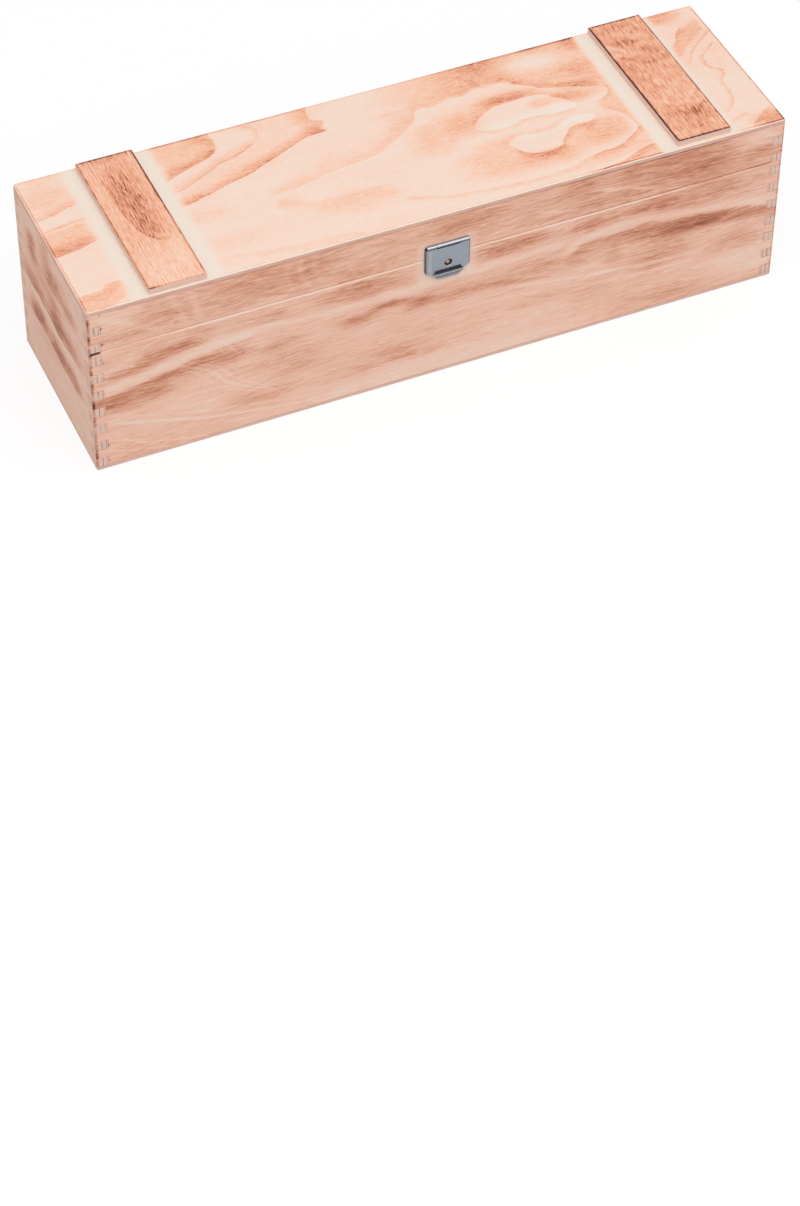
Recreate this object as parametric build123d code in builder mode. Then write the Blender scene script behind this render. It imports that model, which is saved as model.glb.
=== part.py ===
from build123d import *
import os

os.makedirs("parts", exist_ok=True)

# Wine box for one bottle, lying closed. X runs along the box, Y from the latch to the hinges,
# Z is up, and the origin is the middle of the underside. All sizes are in millimetres.

# Box, without its battens, hinges and latch
box_length = 350.0
box_width = 98.5
box_height = 96.0
wall = 6.0              # the boards of the frame
panel = 2.2             # thin plywood of the top and the bottom
corner_round = 0.8      # sanded upright corners
edge_round = 0.5        # sanded edges of the top and the bottom

# The frame is glued up closed, and the lid is then sawn off
seam_height = 71.6
saw_kerf = 2.8          # wood lost to the saw
base_arris = 0.7        # broken edge under the seam
lid_arris = 0.4         # broken edge above the seam

# Comb joints: the end boards' fingers show on the front as end grain
finger_pitch = 10.3     # a finger and a socket, which are alike

# Battens across the lid
batten_width = 27.7
batten_thickness = 3.2
batten_short = 2.1      # of the lid's width
batten_left_inset = 30.2    # from the lid's end
batten_left_front = 1.0     # from the lid's front edge
batten_right_inset = 28.5
batten_right_front = 1.6
batten_round = 0.4

# Nails and pins
nail_cover = 1.2        # wood left past a nail's tip
nail_gap = 0.02         # radial, in wood and in sheet
nail_tip = 0.3
pin_gap = 0.05          # radial, in the knuckles
pin_bevel = 0.15

# Butt hinges on the back
hinge_inset = 58.0      # from the box's end to the hinge
hinge_length = 24.0
hinge_leaf_reach = 12.0 # from the pin to the leaf's far edge
hinge_corner = 1.5
hinge_sheet = 0.8
hinge_pin = 0.85        # radius
hinge_knuckle = 8.0     # the lid's middle knuckle
hinge_gap = 0.2         # between the knuckles, and round them
hinge_nail_inset = 4.5  # from the leaf's ends and its far edge
hinge_nail_shank = 0.6  # radius, as are the other nails' shanks and heads
hinge_nail_head = 1.3
hinge_nail_height = 0.4

# Flap catch on the front: its pin, seen from the seam and from the wood
latch_sheet = 0.45
latch_pin = 0.5         # radius
latch_pin_rise = 7.55
latch_standoff = 0.1    # from the wood to the barrel
middle_half = 5.7       # to the ends of the lid plate's knuckle
knuckle_gap = 0.15

# The flap, from its pin down to its bottom edge
flap_length = 17.35
flap_half = 11.35
flap_step = 0.1         # from the barrel's front back to the flap's face
flap_wood_gap = 0.15    # behind the turned-in sides
flap_round = 1.5
flap_corner = 1.3
flap_cut_height = 2.2   # of the cut-off bottom corners
flap_cut_width = 3.4
barrel_inset = 0.8      # from the flap's sides to the ends of its knuckles

# Hole, slot and thumb lip: heights are measured from the flap's bottom edge
hole_rise = 6.6
hole_radius = 1.9
hole_rim = 0.2
slot_top_rise = 3.4
slot_top_half = 6.2
slot_middle_rise = 1.5
slot_middle_half = 7.0
lip_stand = 1.4         # from the flap's face to the front of the lip
lip_lean = 0.25         # how far its top edge leans back
lip_top_rise = 2.1
lip_top_half = 6.6
lip_bend_rise = 1.2
lip_half = 7.8
lip_fold_drop = 1.1
lip_drop = 2.1
lip_low_half = 5.4
lip_round = 0.6

# Plate on the lid, which carries the flap
lid_plate_gap = 0.7     # from the seam
lid_plate_height = 3.7
lid_plate_inset = 2.0   # from the flap's sides

# Plate on the base, whose hook holds the lip
catch_gap = 1.0         # from the seam
catch_inset = 3.0       # from the flap's sides
catch_cut_height = 2.3  # of the cut-off bottom corners
hook_rise = 0.4         # from the flap's bottom edge to the hook's underside
hook_inset = 2.0        # from the lip's ends
hook_gap = 0.85         # from the hook's tip to the inside of the lip
catch_nail_rise = 3.8   # from the hook's underside

latch_nail_inset = 2.5  # from the plates' ends
latch_nail_shank = 0.55
latch_nail_head = 1.2
latch_nail_height = 0.4
dome_head = 1.45
dome_height = 1.3

# Worked out from the above
panel_top = box_height - panel
half_length = box_length / 2
half_width = box_width / 2
finger_height = finger_pitch / 2
nail_depth = wall - nail_cover

hinge_radius = hinge_pin + pin_gap + hinge_sheet
hinge_half = hinge_length / 2
hinge_spread = half_length - hinge_inset - hinge_half
hinge_nail_half = hinge_half - hinge_nail_inset
hinge_nail_line = hinge_leaf_reach - hinge_nail_inset

latch_radius = latch_pin + pin_gap + latch_sheet
latch_axis = latch_standoff + latch_radius
latch_pin_height = seam_height + latch_pin_rise
barrel_half = flap_half - barrel_inset
flap_face = latch_axis + latch_radius - flap_step
flap_inside = flap_face - latch_sheet
flap_low = latch_pin_height - flap_length
flap_low_half = flap_half - flap_cut_width
flap_side_low = flap_low + flap_cut_height
hole_height = flap_low + hole_rise
slot_top = flap_low + slot_top_rise
slot_middle = flap_low + slot_middle_rise
lip_reach = flap_face + lip_stand
lip_top = flap_low + lip_top_rise
lip_bend = flap_low + lip_bend_rise
lip_fold = flap_low - lip_fold_drop
lip_low = flap_low - lip_drop

lid_plate_low = seam_height + lid_plate_gap
lid_plate_high = lid_plate_low + lid_plate_height
lid_plate_half = flap_half - lid_plate_inset
catch_high = seam_height - catch_gap
catch_half = flap_half - catch_inset
hook_height = flap_low + hook_rise
hook_half = lip_half - hook_inset
hook_reach = lip_reach - latch_sheet - hook_gap

# Planes on the outside of the box: local Y is up, and the normal points away from the wood
front_plane = Plane(origin=(0, -half_width, 0), x_dir=(1, 0, 0), z_dir=(0, -1, 0))
back_plane = Plane(origin=(0, half_width, 0), x_dir=(-1, 0, 0), z_dir=(0, 1, 0))
left_plane = Plane(origin=(-half_length, 0, 0), x_dir=(0, -1, 0), z_dir=(-1, 0, 0))
right_plane = Plane(origin=(half_length, 0, 0), x_dir=(0, 1, 0), z_dir=(1, 0, 0))

# Planes across the latch: distances from the wood are along local X, and along local Y
profile_plane = Plane(origin=(0, -half_width, 0), x_dir=(0, -1, 0), z_dir=(-1, 0, 0))
plan_plane = Plane(origin=(0, -half_width, 0), x_dir=(1, 0, 0), z_dir=(0, 0, -1))


def write(piece, name):
    piece.part.label = name
    export_step(piece.part, f"parts/{name}.step")


def span(low_x, high_x, low_y, high_y, mode=Mode.ADD):
    # Rectangle between two corners
    with Locations(((low_x + high_x) / 2, (low_y + high_y) / 2)):
        Rectangle(high_x - low_x, high_y - low_y, mode=mode)


def symmetric_face(*half):
    # Closed outline from the corners of its right-hand half, top to bottom
    with BuildLine() as outline:
        Polyline(*half, *[(-x, y) for x, y in reversed(half)], close=True)
    make_face(outline.edges())


def holes(plane, places, radius, depth):
    # Blind holes from a plane inwards, in the part being built
    with BuildSketch(plane) as mouths:
        with Locations(*places):
            Circle(radius)
    extrude(mouths.sketch, amount=-depth, mode=Mode.SUBTRACT)


def tube(axis_y, axis_z, low_x, high_x, radius, mode=Mode.ADD):
    # Round bar along X, in the part being built
    with BuildSketch(Plane.YZ.offset(low_x)) as end:
        with Locations((axis_y, axis_z)):
            Circle(radius)
    extrude(end.sketch, amount=high_x - low_x, mode=mode)


def nails(plane, places, sheet, shank, head, head_height, crown):
    # Nails through a sheet on the plane, with round-edged heads outside it
    outwards = Axis(plane.origin, plane.z_dir)
    with BuildPart() as group:
        with BuildSketch(plane.offset(-nail_depth)):
            with Locations(*places):
                Circle(shank)
        extrude(amount=nail_depth + sheet)
        chamfer(group.edges().filter_by(GeomType.CIRCLE).group_by(outwards)[0], nail_tip)
        with BuildSketch(plane.offset(sheet)):
            with Locations(*places):
                Circle(head)
        extrude(amount=head_height)
        fillet(group.edges().filter_by(GeomType.CIRCLE).group_by(outwards)[-1], crown)
    return group


# Where the nails go, in the plane of the face that they enter
hinge_middles = (-hinge_spread, hinge_spread)
hinge_nail_columns = [
    middle + side * hinge_nail_half for middle in hinge_middles for side in (-1, 1)
]
base_hinge_nails = [(x, seam_height - hinge_nail_line) for x in hinge_nail_columns]
lid_hinge_nails = [(x, seam_height + hinge_nail_line) for x in hinge_nail_columns]
lid_nail_x = lid_plate_half - latch_nail_inset
lid_nail_height = (lid_plate_low + lid_plate_high) / 2
lid_plate_nails = [(-lid_nail_x, lid_nail_height), (lid_nail_x, lid_nail_height)]
catch_nail_x = catch_half - latch_nail_inset
catch_nail_height = hook_height + catch_nail_rise
catch_side_nails = [(-catch_nail_x, catch_nail_height), (catch_nail_x, catch_nail_height)]
catch_dome_nail = [(0, hole_height)]


# The wooden frame and its panels

def outside(low, high, arris):
    # Sanded outside of the base or the lid: the seam's edge is chamfered, the other one round
    with BuildPart() as body:
        with BuildSketch(Plane.XY.offset(low)):
            Rectangle(box_length, box_width)
        extrude(amount=high - low)
        fillet(body.edges().filter_by(Axis.Z), corner_round)
        seam_face = body.faces().sort_by_distance((0, 0, seam_height))[0]
        chamfer(seam_face.edges(), arris)
        outer_face = body.faces().filter_by(Axis.Z).sort_by_distance((0, 0, seam_height))[-1]
        fillet(outer_face.edges(), edge_round)
    return body.part


def fingers(low, high, lost):
    # Height spans of the end boards' whole fingers, lost being what the saw took below them
    spans = []
    start = panel
    while start + finger_height <= panel_top + saw_kerf:
        bottom = max(start - lost, low)
        top = min(start + finger_height - lost, high)
        if top > bottom:
            spans.append((bottom, top))
        start += finger_pitch
    return spans


def long_board(plane, low, high, spans, shape, nail_places, nail_shank):
    # Front or back board, notched at both ends for the end boards' fingers
    with BuildPart() as board:
        with BuildSketch(plane):
            span(-half_length, half_length, low, high)
            for bottom, top in spans:
                span(-half_length, wall - half_length, bottom, top, Mode.SUBTRACT)
                span(half_length - wall, half_length, bottom, top, Mode.SUBTRACT)
        extrude(amount=-wall)
        add(shape, mode=Mode.INTERSECT)
        holes(plane, nail_places, nail_shank + nail_gap, nail_depth + nail_gap)
    return board


def end_board(plane, low, high, spans, shape):
    # End board between the long boards, with fingers through to their outside
    with BuildPart() as board:
        with BuildSketch(plane):
            span(wall - half_width, half_width - wall, low, high)
            for bottom, top in spans:
                span(-half_width, half_width, bottom, top)
        extrude(amount=-wall)
        add(shape, mode=Mode.INTERSECT)
    return board


def panel_sheet(low, shape):
    with BuildPart() as sheet:
        with BuildSketch(Plane.XY.offset(low)):
            Rectangle(box_length, box_width)
        extrude(amount=panel)
        add(shape, mode=Mode.INTERSECT)
    return sheet


base_shape = outside(0, seam_height, base_arris)
base_spans = fingers(panel, seam_height, 0)
base_front_nails = catch_dome_nail + catch_side_nails
write(
    long_board(
        front_plane, panel, seam_height, base_spans, base_shape,
        base_front_nails, latch_nail_shank,
    ),
    "base_front_board",
)
write(
    long_board(
        back_plane, panel, seam_height, base_spans, base_shape,
        base_hinge_nails, hinge_nail_shank,
    ),
    "base_back_board",
)
write(end_board(left_plane, panel, seam_height, base_spans, base_shape), "base_left_board")
write(end_board(right_plane, panel, seam_height, base_spans, base_shape), "base_right_board")
write(panel_sheet(0, base_shape), "bottom_panel")

lid_shape = outside(seam_height, box_height, lid_arris)
lid_spans = fingers(seam_height, panel_top, saw_kerf)
write(
    long_board(
        front_plane, seam_height, panel_top, lid_spans, lid_shape,
        lid_plate_nails, latch_nail_shank,
    ),
    "lid_front_rail",
)
write(
    long_board(
        back_plane, seam_height, panel_top, lid_spans, lid_shape,
        lid_hinge_nails, hinge_nail_shank,
    ),
    "lid_back_rail",
)
write(end_board(left_plane, seam_height, panel_top, lid_spans, lid_shape), "lid_left_rail")
write(end_board(right_plane, seam_height, panel_top, lid_spans, lid_shape), "lid_right_rail")
write(panel_sheet(panel_top, lid_shape), "lid_top_panel")


# The two battens glued across the lid

def batten(middle, front):
    with BuildPart() as strip:
        with BuildSketch(Plane.XY.offset(box_height)):
            with Locations((middle, front - batten_short / 2)):
                Rectangle(batten_width, box_width - batten_short)
        extrude(amount=batten_thickness)
        fillet(strip.edges().filter_by(Axis.Z), batten_round)
        fillet(strip.faces().sort_by(Axis.Z)[-1].edges(), batten_round)
    return strip


batten_reach = half_length - batten_width / 2
write(batten(batten_left_inset - batten_reach, batten_left_front), "batten_left")
write(batten(batten_reach - batten_right_inset, batten_right_front), "batten_right")


# The hinges: the base's leaf has the two outer knuckles, the lid's leaf the middle one

hinge_axis_y = half_width + hinge_radius
hinge_clear = hinge_radius + hinge_gap
knuckle_half = hinge_knuckle / 2


def hinge_leaf(middle, on_lid):
    # The back plane's X runs the other way, so its sketch is centred on minus the middle
    far_edge = seam_height + (hinge_leaf_reach if on_lid else -hinge_leaf_reach)
    low, high = sorted((seam_height, far_edge))
    outer_low, outer_high = knuckle_half + hinge_gap, hinge_half
    with BuildPart() as leaf:
        with BuildSketch(back_plane) as outline:
            span(-middle - hinge_half, -middle + hinge_half, low, high)
            corners = outline.vertices().sort_by_distance((middle, half_width, far_edge))[:2]
            fillet(corners, hinge_corner)
            if on_lid:
                clear_top = seam_height + hinge_clear
                span(-middle - hinge_half, -middle - knuckle_half, low, clear_top, Mode.SUBTRACT)
                span(-middle + knuckle_half, -middle + hinge_half, low, clear_top, Mode.SUBTRACT)
            else:
                clear_low = seam_height - hinge_clear
                span(-middle - outer_low, -middle + outer_low, clear_low, high, Mode.SUBTRACT)
        extrude(amount=hinge_sheet)
        if on_lid:
            knuckles = [(-knuckle_half, knuckle_half)]
        else:
            knuckles = [(-outer_high, -outer_low), (outer_low, outer_high)]
        for start, end in knuckles:
            tube(hinge_axis_y, seam_height, middle + start, middle + end, hinge_radius)
        tube(
            hinge_axis_y, seam_height, middle - hinge_half, middle + hinge_half,
            hinge_pin + pin_gap, Mode.SUBTRACT,
        )
        line = lid_hinge_nails if on_lid else base_hinge_nails
        holes(back_plane.offset(hinge_sheet), line, hinge_nail_shank + nail_gap, hinge_sheet)
    return leaf


def hinge_pin_bar(middle):
    with BuildPart() as pin:
        tube(hinge_axis_y, seam_height, middle - hinge_half, middle + hinge_half, hinge_pin)
        chamfer(pin.edges().filter_by(GeomType.CIRCLE), pin_bevel)
    return pin


for middle, side in zip(hinge_middles, ("left", "right")):
    write(hinge_leaf(middle, False), f"hinge_{side}_base_leaf")
    write(hinge_leaf(middle, True), f"hinge_{side}_lid_leaf")
    write(hinge_pin_bar(middle), f"hinge_{side}_pin")

hinge_nail_sizes = (
    hinge_sheet, hinge_nail_shank, hinge_nail_head, hinge_nail_height, hinge_nail_height / 2,
)
write(nails(back_plane, base_hinge_nails, *hinge_nail_sizes), "hinge_base_nails")
write(nails(back_plane, lid_hinge_nails, *hinge_nail_sizes), "hinge_lid_nails")


# The latch: a plate on the lid carries the flap, and a hook plate on the base holds its lip

latch_axis_y = -half_width - latch_axis
latch_nail_hole = latch_nail_shank + nail_gap


def lid_plate():
    with BuildPart() as plate:
        with BuildSketch(front_plane):
            symmetric_face(
                (middle_half, latch_pin_height),
                (middle_half, lid_plate_high),
                (lid_plate_half, lid_plate_high),
                (lid_plate_half, lid_plate_low),
            )
        extrude(amount=latch_sheet)
        tube(latch_axis_y, latch_pin_height, -middle_half, middle_half, latch_radius)
        tube(
            latch_axis_y, latch_pin_height, -middle_half, middle_half,
            latch_pin + pin_gap, Mode.SUBTRACT,
        )
        holes(front_plane.offset(latch_sheet), lid_plate_nails, latch_nail_hole, latch_sheet)
    return plate


def catch_plate():
    # Flat plate whose bottom edge is bent out into the hook
    with BuildPart() as plate:
        with BuildSketch(front_plane):
            symmetric_face(
                (catch_half, catch_high),
                (catch_half, hook_height + catch_cut_height),
                (hook_half, hook_height),
            )
        extrude(amount=latch_sheet)
        with BuildSketch(front_plane):
            span(-hook_half, hook_half, hook_height, hook_height + latch_sheet)
        extrude(amount=hook_reach)
        places = catch_dome_nail + catch_side_nails
        holes(front_plane.offset(latch_sheet), places, latch_nail_hole, latch_sheet)
    return plate


def flap_block(inset, back, face, rounding):
    # The flap's outside, or with an inset its inside, between two distances from the wood
    with BuildPart() as block:
        with BuildSketch(front_plane.offset(back)) as outline:
            symmetric_face(
                (flap_half, latch_pin_height),
                (flap_half, flap_side_low),
                (flap_low_half, flap_low),
            )
            top_corners = outline.vertices().group_by(Axis.Z)[-1]
            fillet(top_corners, flap_corner)
            offset(amount=-inset, kind=Kind.INTERSECTION)
        extrude(amount=face - back)
        face_edges = block.faces().sort_by(Axis.Y)[0].edges().sort_by(Axis.Z)
        fillet(face_edges[:-1], rounding)
    return block.part


def lip_form(inset):
    # The thumb lip as a solid without ends: its profile across X, cut to its plan
    beyond = 2.0
    back = -beyond
    with BuildPart() as form:
        with BuildSketch(profile_plane):
            with BuildLine():
                FilletPolyline(
                    (back, lip_top + beyond),
                    (lip_reach - lip_lean, lip_top + beyond),
                    (lip_reach, lip_bend),
                    (flap_face, lip_fold),
                    (flap_face, lip_low - beyond),
                    (back, lip_low - beyond),
                    radius=lip_round,
                    close=True,
                )
            make_face()
            offset(amount=-inset, kind=Kind.INTERSECTION)
        extrude(amount=lip_half, both=True)
        with BuildSketch(plan_plane.offset(-lip_top - beyond)):
            symmetric_face((lip_half, back), (lip_half, flap_face), (lip_top_half, lip_reach))
            offset(amount=-inset, kind=Kind.INTERSECTION)
        extrude(amount=lip_top - lip_low + 2 * beyond, mode=Mode.INTERSECT)
    return form.part


def flap():
    with BuildPart() as lip:
        add(lip_form(0))
        add(lip_form(latch_sheet), mode=Mode.SUBTRACT)
        with BuildSketch(front_plane.offset(flap_inside)):
            symmetric_face(
                (lip_top_half, lip_top),
                (lip_half, lip_bend),
                (lip_low_half, lip_low),
            )
        extrude(amount=lip_reach, mode=Mode.INTERSECT)
    with BuildPart() as sheet:
        add(flap_block(0, flap_wood_gap, flap_face, flap_round))
        add(flap_block(latch_sheet, 0, flap_inside, flap_round - latch_sheet), mode=Mode.SUBTRACT)
        with BuildSketch(front_plane):
            cut_half = middle_half + knuckle_gap
            cut_low = latch_pin_height - latch_radius - knuckle_gap
            span(-cut_half, cut_half, cut_low, latch_pin_height + latch_radius)
            symmetric_face(
                (slot_top_half, slot_top),
                (slot_middle_half, slot_middle),
                (lip_low_half, lip_low),
            )
            with Locations((0, hole_height)):
                Circle(hole_radius)
        extrude(amount=lip_reach, mode=Mode.SUBTRACT)
        with BuildSketch(front_plane.offset(flap_face)):
            with Locations((0, hole_height)):
                Circle(hole_radius + hole_rim)
        extrude(amount=-hole_rim, taper=45, mode=Mode.SUBTRACT)
        for start, end in ((-barrel_half, -cut_half), (cut_half, barrel_half)):
            tube(latch_axis_y, latch_pin_height, start, end, latch_radius)
        tube(
            latch_axis_y, latch_pin_height, -flap_half, flap_half,
            latch_pin + pin_gap, Mode.SUBTRACT,
        )
        add(lip.part)
    return sheet


def latch_pin_bar():
    with BuildPart() as pin:
        tube(latch_axis_y, latch_pin_height, -barrel_half, barrel_half, latch_pin)
        chamfer(pin.edges().filter_by(GeomType.CIRCLE), pin_bevel)
    return pin


write(lid_plate(), "latch_lid_plate")
write(flap(), "latch_flap")
write(latch_pin_bar(), "latch_pin")
write(catch_plate(), "latch_catch_plate")

flat_nail_sizes = (
    latch_sheet, latch_nail_shank, latch_nail_head, latch_nail_height, latch_nail_height / 2,
)
dome_nail_sizes = (latch_sheet, latch_nail_shank, dome_head, dome_height, dome_height * 0.9)
write(nails(front_plane, lid_plate_nails, *flat_nail_sizes), "latch_lid_nails")
write(nails(front_plane, catch_side_nails, *flat_nail_sizes), "latch_catch_nails")
write(nails(front_plane, catch_dome_nail, *dome_nail_sizes), "latch_dome_nail")
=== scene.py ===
import math

import bmesh
import bpy
from mathutils import Matrix, Vector

# Wooden wine box: flamed plywood boards and battens, zinc-plated hinges and flap catch.
# Places in the dictionaries are millimetres in the box's own frame: x along the box,
# y from the latch to the hinges, z up from the underside.

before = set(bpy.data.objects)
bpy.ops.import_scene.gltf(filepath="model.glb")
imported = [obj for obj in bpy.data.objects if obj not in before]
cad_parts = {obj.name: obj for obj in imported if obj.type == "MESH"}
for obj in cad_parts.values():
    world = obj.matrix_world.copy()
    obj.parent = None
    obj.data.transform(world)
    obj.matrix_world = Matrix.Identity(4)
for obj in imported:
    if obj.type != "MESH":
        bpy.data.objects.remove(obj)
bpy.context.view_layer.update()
mm = 0.001


def linear(hexColour):
    # sRGB hex to the linear colour that shaders use
    channels = [int(hexColour[i:i + 2], 16) / 255 for i in (1, 3, 5)]
    return [c / 12.92 if c <= 0.04045 else ((c + 0.055) / 1.055) ** 2.4 for c in channels] + [1]


def add(tree, kind, inputs=(), stops=(), points=(), output=0, **settings):
    # One shader node with its settings, its inputs as numbers or links, and the output wanted
    node = tree.nodes.new("ShaderNode" + kind)
    for name, value in settings.items():
        setattr(node, name, value)
    for key, value in inputs.items() if isinstance(inputs, dict) else enumerate(inputs):
        if isinstance(value, bpy.types.NodeSocket):
            tree.links.new(value, node.inputs[key])
        else:
            node.inputs[key].default_value = value
    for i, (place, colour) in enumerate(stops):
        ramp = node.color_ramp.elements
        stop = ramp[i] if i < 2 else ramp.new(place)
        stop.position = place
        stop.color = linear(colour)
    if points:
        curve = node.mapping.curves[0]
        for u, v in points[1:-1]:
            curve.points.new(u, v)
        curve.points[0].location = points[0]
        curve.points[-1].location = points[-1]
        node.mapping.update()
    return node.outputs[output] if node.outputs else node


def newMaterial(name):
    material = bpy.data.materials.new(name)
    material.use_nodes = True
    material.node_tree.nodes.clear()
    return material, material.node_tree


photoCamera = {
    "azimuth": -24.09,       # degrees, from the box's front towards its left
    "elevation": 42.83,
    "roll": 0.47,
    "place": (-1.26, -46.71, 1661.79),   # mm from the box's origin, in the camera's own axes
    "lens": 102.38,          # mm, on a 36 mm sensor
    "shift": -0.1658,        # the box is in the upper part of the picture
}

studio = {
    "white": "#FFFFFF",
    "floorMatt": (0.62, 0.2),    # what the floor reflects on the box, and to the camera
    "floorGlow": 1.02,       # what the camera sees of the floor, just over white
    "floorReach": 12,        # m
    "skylight": 0.66,
    "lampPower": 12.6,       # W
    "lampSize": 1.6,         # m
    "lampPlace": (-0.1, -0.88, 1.45),
}


def addCamera(look):
    turn = (
        Matrix.Rotation(math.radians(look["azimuth"]), 3, "Z")
        @ Matrix.Rotation(math.radians(90 - look["elevation"]), 3, "X")
        @ Matrix.Rotation(math.radians(look["roll"]), 3, "Z")
    )
    place = turn @ Vector(look["place"]) * mm
    data = bpy.data.cameras.new("photoCamera")
    data.sensor_width = 36
    data.lens = look["lens"]
    data.shift_y = look["shift"]
    camera = bpy.data.objects.new("photoCamera", data)
    camera.matrix_world = Matrix.Translation(place) @ turn.to_4x4()
    bpy.context.scene.collection.objects.link(camera)
    bpy.context.scene.camera = camera


def seenDirectly(tree):
    # 1 for what the camera, a mirror or a glass shows, 0 for light on the object
    camera = add(tree, "LightPath", output="Is Camera Ray")
    paths = camera.node.outputs
    seen = add(tree, "Math", (camera, paths["Is Glossy Ray"]), operation="ADD")
    return add(
        tree, "Math", (seen, paths["Is Transmission Ray"]), operation="ADD", use_clamp=True
    )


def addStudio(look):
    world = bpy.data.worlds.new("studio")
    world.use_nodes = True
    tree = world.node_tree
    tree.nodes.clear()
    strength = add(tree, "MapRange", (seenDirectly(tree), 0, 1, look["skylight"], 1))
    shade = add(tree, "Background", {"Color": linear(look["white"]), "Strength": strength})
    add(tree, "OutputWorld", {"Surface": shade})
    bpy.context.scene.world = world

    lamp = bpy.data.lights.new("softbox", "AREA")
    lamp.energy = look["lampPower"]
    lamp.size = look["lampSize"]
    softbox = bpy.data.objects.new("softbox", lamp)
    softbox.location = look["lampPlace"]
    softbox.rotation_euler = (-softbox.location).to_track_quat("-Z", "Y").to_euler()
    bpy.context.scene.collection.objects.link(softbox)

    material, tree = newMaterial("paleFloor")
    white = linear(look["white"])
    seen = seenDirectly(tree)
    matt = add(tree, "MapRange", (seen, 0, 1, *look["floorMatt"]))
    glow = add(tree, "MapRange", (seen, 0, 1, 0, look["floorGlow"] - look["floorMatt"][1]))
    paint = add(tree, "BsdfDiffuse", {"Color": matt})
    light = add(tree, "Emission", {"Color": white, "Strength": glow})
    add(tree, "OutputMaterial", {"Surface": add(tree, "AddShader", (paint, light))})
    mesh = bpy.data.meshes.new("floor")
    shape = bmesh.new()
    bmesh.ops.create_grid(shape, x_segments=1, y_segments=1, size=look["floorReach"])
    shape.to_mesh(mesh)
    shape.free()
    mesh.materials.append(material)
    floor = bpy.data.objects.new("floor", mesh)
    bpy.context.scene.collection.objects.link(floor)


bpy.context.scene.view_settings.view_transform = "Standard"
addCamera(photoCamera)
addStudio(studio)
print("camera, light and floor are in place")


# Flamed wood. The flame's depth is a number from 0, bare wood, to 1.25, charred, and a scale of
# colours turns it into the wood's colour. It is the sum of growth lines, soft spots and streaks.
# A row of streaks is their length and width in mm and their strength. The pores of the real wood
# are 0.1 to 0.2 mm wide and would not show, so the finest rows are drawn 0.6 to 1 mm wide.

panelFlame = [
    (0.0, "#F3E5D7"), (0.11, "#FADBC9"), (0.24, "#FACDB4"), (0.36, "#F8BF9F"),
    (0.48, "#F1AC8B"), (0.6, "#E59876"), (0.74, "#BE7353"), (0.87, "#8A4228"), (1.0, "#4E1F10"),
]
boardFlame = [
    (0.0, "#F0DFD0"), (0.12, "#FADCCA"), (0.24, "#FACDB7"), (0.36, "#F2BEA5"),
    (0.48, "#E4A68A"), (0.62, "#CC8565"), (0.78, "#A5634A"), (1.0, "#45261C"),
]
plies = [(0.0, "#F1D3C4"), (0.5, "#D29F89"), (1.0, "#74422F")]
bareVeneer = [(0.0, "#F1E1CB"), (1.0, "#DFC4A3")]

comb = {
    "start": 2.2,            # mm, underside of the lowest finger of the end boards
    "pitch": 10.3,
    "wall": 6.0,
    "seam": 71.6,
    "kerf": 2.8,             # the saw took this from the fingers' run
    "socketLine": (0.2, 0.55),   # mm from the joint, where its dark line starts to fade and ends
    "fingerLine": (0.1, 0.4),
    "fingerTone": 0.6,       # of the lines along the fingers, beside those at their ends
    "corner": (0.2, 1.9),    # mm, how far the scorch of the upright corner reaches
    "cornerOnSockets": 0.45,
}

# What all the wood shares; sizes in mm
woodSkin = {
    "scaleEnd": 1.25,            # the flame's depth at the dark end of a scale
    "ragged": (0.25, 0.2),       # how far the marks at the edges wander
    "patches": 6,                # size of the patches in which marks and glue lines come and go
    "patchRange": (0.25, 1),
    "jointTone": 0.35,           # how dark the comb joint's lines are on the face
    "jointEdgeTone": 0.5,        # and on the edges
    "edgeGrain": (7, 0.8),
    "edgeGrainTone": 0.12,
    "glueLine": (0.1, 0.4),
    "bareGrain": (60, 1.6),      # length and width of the streaks in the bare veneer
    "raisedGrain": (14, 0.5),    # wider than the real 0.1 to 0.2, so that it shows
    "relief": 0.05,
    "reliefStrength": 0.4,
    "roughness": (0.56, 0.72),
}


def curveAt(tree, along, points):
    # A smooth curve through the points, in millimetres, and where it starts and ends
    start, end = points[0][0], points[-1][0]
    low = min(v for u, v in points) - 1
    high = max(v for u, v in points) + 1
    course = add(tree, "MapRange", (along, start, end, 0, 1))
    course = add(
        tree, "FloatCurve", (1.0, course),
        points=[((u - start) / (end - start), (v - low) / (high - low)) for u, v in points],
    )
    return add(tree, "MapRange", (course, 0, 1, low, high)), start, end


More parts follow.
